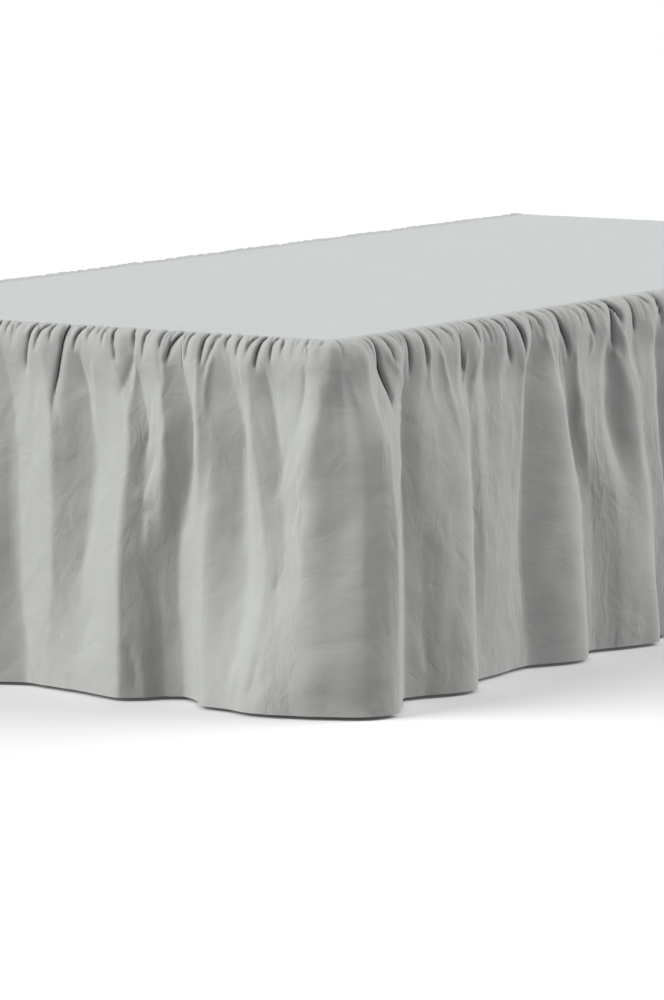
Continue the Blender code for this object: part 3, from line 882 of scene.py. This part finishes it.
def build_deck(sizes, material):
    """The flat panel between the seams, a little uneven, with its hem at the head end."""
    panel = bmesh.new()
    cells_across, cells_along = DECK_CELLS
    bmesh.ops.create_grid(panel, x_segments=cells_across, y_segments=cells_along, size=0.5)
    for vertex in panel.verts:
        vertex.co = deck_spot(2 * vertex.co.x, vertex.co.y + 0.5)
    deck = add_piece("deck_cloth", panel, material)
    spot = read_vectors(deck.data.vertices, "co")
    write_cloth_map(deck.data, spot[:, 0], spot[:, 1])
    generator = random.Random(sizes.seed)
    across, along = spot[:, 0], spot[:, 1] - BASE_LOW.y
    rows = [(*(value * CM for value in row[:-1]), row[-1] * MM) for row in DECK_CREASES]
    spot[:, 2] += crease_heights(across, along, rows)
    spot[:, 2] += DECK_CRUMPLE * crumple(across, along, generator)
    hem_start, hem_full = (DECK_HIGH.y - width for width in HEM_WIDTHS)
    spot[:, 2] += HEM_RISE * smooth_step(spot[:, 1], hem_start, hem_full)
    spot[:, 2] = np.maximum(spot[:, 2], DECK_HIGH.z - DECK_SINK)
    write_places(deck.data, spot)
    thicken(deck, sizes.thickness)
    return deck


# ---------------------------------------------------------------- finishes


def new_group(name, inputs, outputs):
    """An empty shader node group with named sockets; returns it with its two end nodes."""
    group = bpy.data.node_groups.new(name, "ShaderNodeTree")
    for socket_name, kind, default in inputs:
        socket = group.interface.new_socket(socket_name, in_out="INPUT", socket_type=kind)
        if default is not None:
            socket.default_value = default
    for socket_name, kind in outputs:
        group.interface.new_socket(socket_name, in_out="OUTPUT", socket_type=kind)
    return group, group.nodes.new("NodeGroupInput"), group.nodes.new("NodeGroupOutput")


def maths(tree, operation, first, second=None, third=None):
    """One Math node; each operand is a socket or a number."""
    node = tree.nodes.new("ShaderNodeMath")
    node.operation = operation
    for slot_index, operand in enumerate((first, second, third)):
        if operand is None:
            continue
        if isinstance(operand, (int, float)):
            node.inputs[slot_index].default_value = operand
        else:
            tree.links.new(operand, node.inputs[slot_index])
    return node.outputs[0]


def mapped(tree, place, setting, value):
    """The place after one Mapping node that turns or stretches it."""
    node = tree.nodes.new("ShaderNodeMapping")
    node.inputs[setting].default_value = value
    tree.links.new(place, node.inputs["Vector"])
    return node.outputs[0]


def noise(tree, place, scale, detail, roughness=0.5, distortion=0.0):
    """The value of one Noise Texture node."""
    node = tree.nodes.new("ShaderNodeTexNoise")
    tree.links.new(place, node.inputs["Vector"])
    shape = {"Scale": scale, "Detail": detail, "Roughness": roughness, "Distortion": distortion}
    for setting, value in shape.items():
        node.inputs[setting].default_value = value
    return node.outputs["Fac"]


def percale_group():
    """Plain weave: threads that pass over and under each other, with uneven yarn."""
    group, given, result = new_group(
        WEAVE_NAME,
        (
            ("Cloth Place", "NodeSocketVector", None),
            ("Thread Pitch", "NodeSocketFloat", 0.0004),
            ("Yarn Unevenness", "NodeSocketFloat", 0.5),
            ("Cloth Colour", "NodeSocketColor", (0.5, 0.5, 0.5, 1.0)),
            ("Tone Spread", "NodeSocketFloat", 0.05),
            ("Crinkle Height", "NodeSocketFloat", 0.0),
            ("Painted Slot Shade", "NodeSocketFloat", 0.0),
        ),
        (("Colour", "NodeSocketColor"), ("Height", "NodeSocketFloat")),
    )
    nodes, links = group.nodes, group.links
    place = given.outputs["Cloth Place"]
    parts = nodes.new("ShaderNodeSeparateXYZ")
    links.new(place, parts.inputs[0])
    numbers, rounds = [], []
    for axis in ("X", "Y"):
        threads = maths(group, "DIVIDE", parts.outputs[axis], given.outputs["Thread Pitch"])
        wave = maths(group, "SINE", maths(group, "MULTIPLY", threads, math.pi))
        numbers.append(maths(group, "FLOOR", threads))
        rounds.append(maths(group, "ABSOLUTE", wave))
    warp_over = maths(group, "PINGPONG", maths(group, "ADD", *numbers), 1.0)
    upper = nodes.new("ShaderNodeMix")
    upper.data_type = "FLOAT"
    links.new(warp_over, upper.inputs["Factor"])
    links.new(rounds[1], upper.inputs["A"])
    links.new(rounds[0], upper.inputs["B"])
    streaks = (
        noise(group, mapped(group, place, "Scale", stretch), 1.0, 2.0) for stretch in YARN_STRETCHES
    )
    uneven = maths(group, "SUBTRACT", maths(group, "ADD", *streaks), 1.0)
    uneven = maths(group, "MULTIPLY", uneven, given.outputs["Yarn Unevenness"])
    soft = noise(group, place, 24.0, 4.0, roughness=0.55, distortion=1.2)
    lines = maths(group, "SUBTRACT", noise(group, place, 12.0, 1.5, distortion=0.9), 0.5)
    crinkles = maths(group, "MULTIPLY_ADD", maths(group, "ABSOLUTE", lines), FOLDED_SHARE, soft)
    crinkles = maths(group, "MULTIPLY", crinkles, given.outputs["Crinkle Height"])
    weave = maths(group, "ADD", upper.outputs["Result"], uneven)
    links.new(maths(group, "MULTIPLY_ADD", weave, WEAVE_HEIGHT, crinkles), result.inputs["Height"])
    clouds = maths(group, "SUBTRACT", noise(group, place, 7.0, 3.0), 0.5)
    tone = maths(group, "ADD", maths(group, "MULTIPLY", uneven, YARN_TONE), clouds)
    tone = maths(group, "MULTIPLY_ADD", tone, given.outputs["Tone Spread"], 1.0)
    # Painted shade: the colour is darkened where the slot mask is high, to stand for the shadow in the
    # slots
    painted_shade_factor = maths(group, "MULTIPLY_ADD", given.outputs["Painted Slot Shade"], -PAINTED_SHADE_STRENGTH, 1.0)
    shade = nodes.new("ShaderNodeVectorMath")
    shade.operation = "SCALE"
    links.new(given.outputs["Cloth Colour"], shade.inputs[0])
    links.new(maths(group, "MULTIPLY", tone, painted_shade_factor), shade.inputs["Scale"])
    links.new(shade.outputs[0], result.inputs["Colour"])
    return group


def new_material(name, roughness):
    """A material with its Principled shader; returns the material, its tree and the shader."""
    material = bpy.data.materials.new(name)
    material.use_nodes = True
    tree = material.node_tree
    shader = tree.nodes["Principled BSDF"]
    shader.inputs["Roughness"].default_value = roughness
    return material, tree, shader


def add_bump(tree, shader, height, distance):
    """Raise the shader's surface by a height."""
    bump = tree.nodes.new("ShaderNodeBump")
    bump.inputs["Distance"].default_value = distance
    tree.links.new(height, bump.inputs["Height"])
    tree.links.new(bump.outputs[0], shader.inputs["Normal"])


def add_weave(tree, shader, place, colour, pitch, distance):
    """The shared weave in one colour and thread pitch; returns its node."""
    weave = tree.nodes.new("ShaderNodeGroup")
    weave.node_tree = bpy.data.node_groups.get(WEAVE_NAME) or percale_group()
    weave.inputs["Thread Pitch"].default_value = pitch
    weave.inputs["Cloth Colour"].default_value = (*colour, 1.0)
    tree.links.new(place, weave.inputs["Cloth Place"])
    tree.links.new(weave.outputs["Colour"], shader.inputs["Base Color"])
    add_bump(tree, shader, weave.outputs["Height"], distance)
    return weave


def percale_material(name, colour, crinkle):
    """Crisp light cotton, matt with a faint sheen, its weave along the flat cloth."""
    material, tree, shader = new_material(name, 0.82)
    shader.inputs["Specular IOR Level"].default_value = 0.25
    shader.inputs["Sheen Weight"].default_value = 0.12
    shader.inputs["Sheen Roughness"].default_value = 0.45
    place = tree.nodes.new("ShaderNodeUVMap")
    place.uv_map = "cloth"
    weave = add_weave(tree, shader, place.outputs[0], colour, *PERCALE_WEAVE)
    weave.inputs["Crinkle Height"].default_value = crinkle
    # Painted shade: the slot mask on the ruffle's mesh darkens the weave's colour in the slots; the deck
    # has no such mask
    painted_slot_shade = tree.nodes.new("ShaderNodeAttribute")
    painted_slot_shade.attribute_name = "painted_slot_shade"
    tree.links.new(painted_slot_shade.outputs["Fac"], weave.inputs["Painted Slot Shade"])
    return material


def base_cover_material(colour):
    """Plain woven cover of the base."""
    material, tree, shader = new_material("base_cover_weave", 0.9)
    place = tree.nodes.new("ShaderNodeTexCoord").outputs["Object"]
    upright = mapped(tree, place, "Rotation", (math.radians(90), 0, 0))
    add_weave(tree, shader, upright, colour, *COVER_WEAVE)
    return material


def leg_material(colour):
    """Oiled beech with its grain up the leg."""
    material, tree, shader = new_material("oiled_beech", 0.42)
    place = tree.nodes.new("ShaderNodeTexCoord").outputs["Object"]
    grain = noise(tree, mapped(tree, place, "Scale", GRAIN_STRETCH), 1.0, 6.0)
    tone = tree.nodes.new("ShaderNodeMix")
    tone.data_type = "RGBA"
    for name, shade in zip("AB", GRAIN_TONES):
        tone.inputs[name].default_value = (*(shade * part for part in colour), 1.0)
    tree.links.new(grain, tone.inputs["Factor"])
    tree.links.new(tone.outputs["Result"], shader.inputs["Base Color"])
    add_bump(tree, shader, grain, GRAIN_HEIGHT)
    return material


# ---------------------------------------------------------------- studio


def build_floor(settings):
    """A pale floor that throws no light back up."""
    floor = bmesh.new()
    bmesh.ops.create_grid(floor, x_segments=1, y_segments=1, size=settings.floor_size / 2)
    material, _, shader = new_material("studio_floor", 0.9)
    shader.inputs["Base Color"].default_value = (*settings.floor_colour, 1.0)
    shader.inputs["Specular IOR Level"].default_value = 0.1
    piece = add_piece("studio_floor", floor, material)
    piece.visible_diffuse = False


def add_far_light(name, strength, turn, height, softness):
    """A broad far light, as from a large window, so that it lights the whole floor evenly."""
    light = bpy.data.lights.new(name, "SUN")
    light.energy = strength
    light.angle = softness
    lamp = bpy.data.objects.new(name, light)
    lamp.rotation_euler = (math.pi / 2 - height, 0, turn)
    bpy.context.scene.collection.objects.link(lamp)


def set_world(settings):
    """Even light from all round."""
    world = bpy.data.worlds.new("studio")
    world.use_nodes = True
    sky = world.node_tree.nodes["Background"]
    sky.inputs["Color"].default_value = (*settings.fill_colour, 1.0)
    sky.inputs["Strength"].default_value = settings.fill_strength
    bpy.context.scene.world = world


def place_camera(settings):
    """Stand the camera off the seen corner of the deck, a little above it."""
    scene = bpy.context.scene
    camera = bpy.data.cameras.new("camera")
    camera.lens = settings.lens
    camera.sensor_width = 36.0
    camera.clip_end = 200.0
    camera_object = bpy.data.objects.new("camera", camera)
    turn = settings.camera_turn
    back = Vector((math.sin(turn), -math.cos(turn), 0))
    across = Vector((math.cos(turn), math.sin(turn), 0))
    corner = Vector((DECK_HIGH.x - AIM_INSET, DECK_LOW.y, DECK_HIGH.z))
    camera_object.location = (
        corner
        + back * settings.camera_distance
        + across * settings.camera_aside
        + Vector((0, 0, settings.camera_rise))
    )
    camera_object.rotation_euler = (math.pi / 2 - settings.camera_tilt, 0, turn)
    scene.collection.objects.link(camera_object)
    scene.camera = camera_object


# ---------------------------------------------------------------- settings and operators


class ClothSizes(bpy.types.PropertyGroup):
    """Sizes and colours of the cloth"""

    thickness: bpy.props.FloatProperty(
        name="Cloth thickness", description="Thickness of the cotton", default=0.0012, unit="LENGTH"
    )
    fullness: bpy.props.FloatProperty(
        name="Fullness", description="Length of the cut strip for each metre of seam", default=1.35
    )
    seed: bpy.props.IntProperty(
        name="Crumple seed", description="Seed of the faint random creases", default=7
    )
    ruffle_crinkle: bpy.props.FloatProperty(
        name="Ruffle crinkle",
        description="Height of the crinkles of the gathered cloth",
        default=0.0016,
        unit="LENGTH",
    )
    deck_crinkle: bpy.props.FloatProperty(
        name="Deck crinkle",
        description="Height of the crinkles of the flat panel",
        default=0.0012,
        unit="LENGTH",
    )
    ruffle_colour: bpy.props.FloatVectorProperty(
        name="Ruffle colour",
        description="Colour of the gathered cloth",
        subtype="COLOR",
        default=(0.47, 0.48, 0.465),
    )
    deck_colour: bpy.props.FloatVectorProperty(
        name="Deck colour",
        description="Colour of the flat panel",
        subtype="COLOR",
        default=(0.523, 0.545, 0.545),
    )


class BaseColours(bpy.types.PropertyGroup):
    """Colours of the base and its legs"""

    cover_colour: bpy.props.FloatVectorProperty(
        name="Cover colour", description="Cover of the base", subtype="COLOR", default=(0.62, 0.60, 0.56)
    )
    leg_colour: bpy.props.FloatVectorProperty(
        name="Leg colour", description="Wood of the legs", subtype="COLOR", default=(0.52, 0.36, 0.22)
    )


class StudioSettings(bpy.types.PropertyGroup):
    """Floor, lights and camera"""

    floor_size: bpy.props.FloatProperty(
        name="Floor size", description="Side of the square floor", default=160.0, unit="LENGTH"
    )
    floor_colour: bpy.props.FloatVectorProperty(
        name="Floor colour", description="Pale studio floor", subtype="COLOR", default=(0.9, 0.9, 0.9)
    )
    fill_colour: bpy.props.FloatVectorProperty(
        name="Fill colour", description="Light from all round", subtype="COLOR", default=(1.0, 1.0, 1.0)
    )
    fill_strength: bpy.props.FloatProperty(
        name="Fill strength", description="Strength of the light from all round", default=0.20
    )
    key_strength: bpy.props.FloatProperty(
        name="Key strength", description="Strength of the light at the front left", default=3.3
    )
    key_turn: bpy.props.FloatProperty(
        name="Key turn",
        description="How far round from the foot the key light stands",
        default=math.radians(-38),
        subtype="ANGLE",
    )
    side_strength: bpy.props.FloatProperty(
        name="Side strength", description="Strength of the light at the back right", default=2.65
    )
    side_turn: bpy.props.FloatProperty(
        name="Side turn",
        description="How far round from the foot the side light stands",
        default=math.radians(135),
        subtype="ANGLE",
    )
    light_height: bpy.props.FloatProperty(
        name="Light height",
        description="How high both lights stand above the floor",
        default=math.radians(30),
        subtype="ANGLE",
    )
    light_softness: bpy.props.FloatProperty(
        name="Light softness",
        description="How broad both lights look",
        default=math.radians(55),
        subtype="ANGLE",
    )
    lens: bpy.props.FloatProperty(name="Lens", description="Focal length in millimetres", default=228.0)
    camera_turn: bpy.props.FloatProperty(
        name="Camera turn",
        description="How far round from the foot the camera stands",
        default=math.radians(32),
        subtype="ANGLE",
    )
    camera_tilt: bpy.props.FloatProperty(
        name="Camera tilt", description="How far down it looks", default=math.radians(7.04), subtype="ANGLE"
    )
    camera_distance: bpy.props.FloatProperty(
        name="Camera distance", description="From the corner of the deck", default=8.4, unit="LENGTH"
    )
    camera_rise: bpy.props.FloatProperty(
        name="Camera rise", description="Above the deck", default=0.8235, unit="LENGTH"
    )
    camera_aside: bpy.props.FloatProperty(
        name="Camera aside", description="To the right of the corner", default=0.0034, unit="LENGTH"
    )


class BEDSKIRT_OT_ruffle(bpy.types.Operator):
    """Make the gathered ruffle round three sides of the base"""

    bl_idname = "bedskirt.ruffle"
    bl_label = "Make ruffle"

    def execute(self, context):
        sizes = context.scene.bed_skirt_cloth
        material = percale_material("ruffle_percale", sizes.ruffle_colour, sizes.ruffle_crinkle)
        ruffle = build_ruffle(sizes, material)
        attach(ruffle, "root")
        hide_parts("ruffle")
        return {"FINISHED"}


class BEDSKIRT_OT_deck(bpy.types.Operator):
    """Make the flat deck panel on top of the base"""

    bl_idname = "bedskirt.deck"
    bl_label = "Make deck panel"

    def execute(self, context):
        sizes = context.scene.bed_skirt_cloth
        deck = build_deck(sizes, percale_material("deck_percale", sizes.deck_colour, sizes.deck_crinkle))
        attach(deck, "root")
        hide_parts("deck_panel")
        return {"FINISHED"}


class BEDSKIRT_OT_base(bpy.types.Operator):
    """Give the base and its legs their finishes"""

    bl_idname = "bedskirt.base"
    bl_label = "Finish base and legs"

    def execute(self, context):
        colours = context.scene.bed_skirt_base
        finishes = {
            "bed_base": base_cover_material(colours.cover_colour),
            "leg": leg_material(colours.leg_colour),
        }
        for name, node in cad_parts.items():
            kind = "leg" if name.startswith("leg_") else name
            if kind in finishes:
                node.material_slots[0].material = finishes[kind]
        return {"FINISHED"}


class BEDSKIRT_OT_studio(bpy.types.Operator):
    """Set the floor, the lights and the camera"""

    bl_idname = "bedskirt.studio"
    bl_label = "Set up studio"

    def execute(self, context):
        settings = context.scene.bed_skirt_studio
        build_floor(settings)
        set_world(settings)
        height, softness = settings.light_height, settings.light_softness
        add_far_light("key_light", settings.key_strength, settings.key_turn, height, softness)
        add_far_light("side_light", settings.side_strength, settings.side_turn, height, softness)
        place_camera(settings)
        context.scene.view_settings.view_transform = "Standard"
        return {"FINISHED"}


class BEDSKIRT_PT_panel(bpy.types.Panel):
    """Sizes, colours and steps of the bed skirt"""

    bl_idname = "BEDSKIRT_PT_panel"
    bl_label = "Bed skirt"
    bl_space_type = "VIEW_3D"
    bl_region_type = "UI"
    bl_category = "Bed skirt"

    def draw(self, context):
        scene = context.scene
        for group in (scene.bed_skirt_cloth, scene.bed_skirt_base, scene.bed_skirt_studio):
            box = self.layout.box()
            for name in group.__annotations__:
                box.prop(group, name)
        for operator in OPERATORS:
            self.layout.operator(operator.bl_idname)


OPERATORS = (BEDSKIRT_OT_ruffle, BEDSKIRT_OT_deck, BEDSKIRT_OT_base, BEDSKIRT_OT_studio)
CLASSES = (ClothSizes, BaseColours, StudioSettings, *OPERATORS, BEDSKIRT_PT_panel)


def register():
    """Add the classes and the scene's settings."""
    for made in CLASSES:
        bpy.utils.register_class(made)
    bpy.types.Scene.bed_skirt_cloth = bpy.props.PointerProperty(type=ClothSizes)
    bpy.types.Scene.bed_skirt_base = bpy.props.PointerProperty(type=BaseColours)
    bpy.types.Scene.bed_skirt_studio = bpy.props.PointerProperty(type=StudioSettings)


def unregister():
    """Take the settings and the classes away again."""
    del bpy.types.Scene.bed_skirt_studio
    del bpy.types.Scene.bed_skirt_base
    del bpy.types.Scene.bed_skirt_cloth
    for made in reversed(CLASSES):
        bpy.utils.unregister_class(made)


def main():
    """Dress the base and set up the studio."""
    register()
    bpy.ops.bedskirt.ruffle()
    bpy.ops.bedskirt.deck()
    bpy.ops.bedskirt.base()
    bpy.ops.bedskirt.studio()


if __name__ == "__main__":
    main()
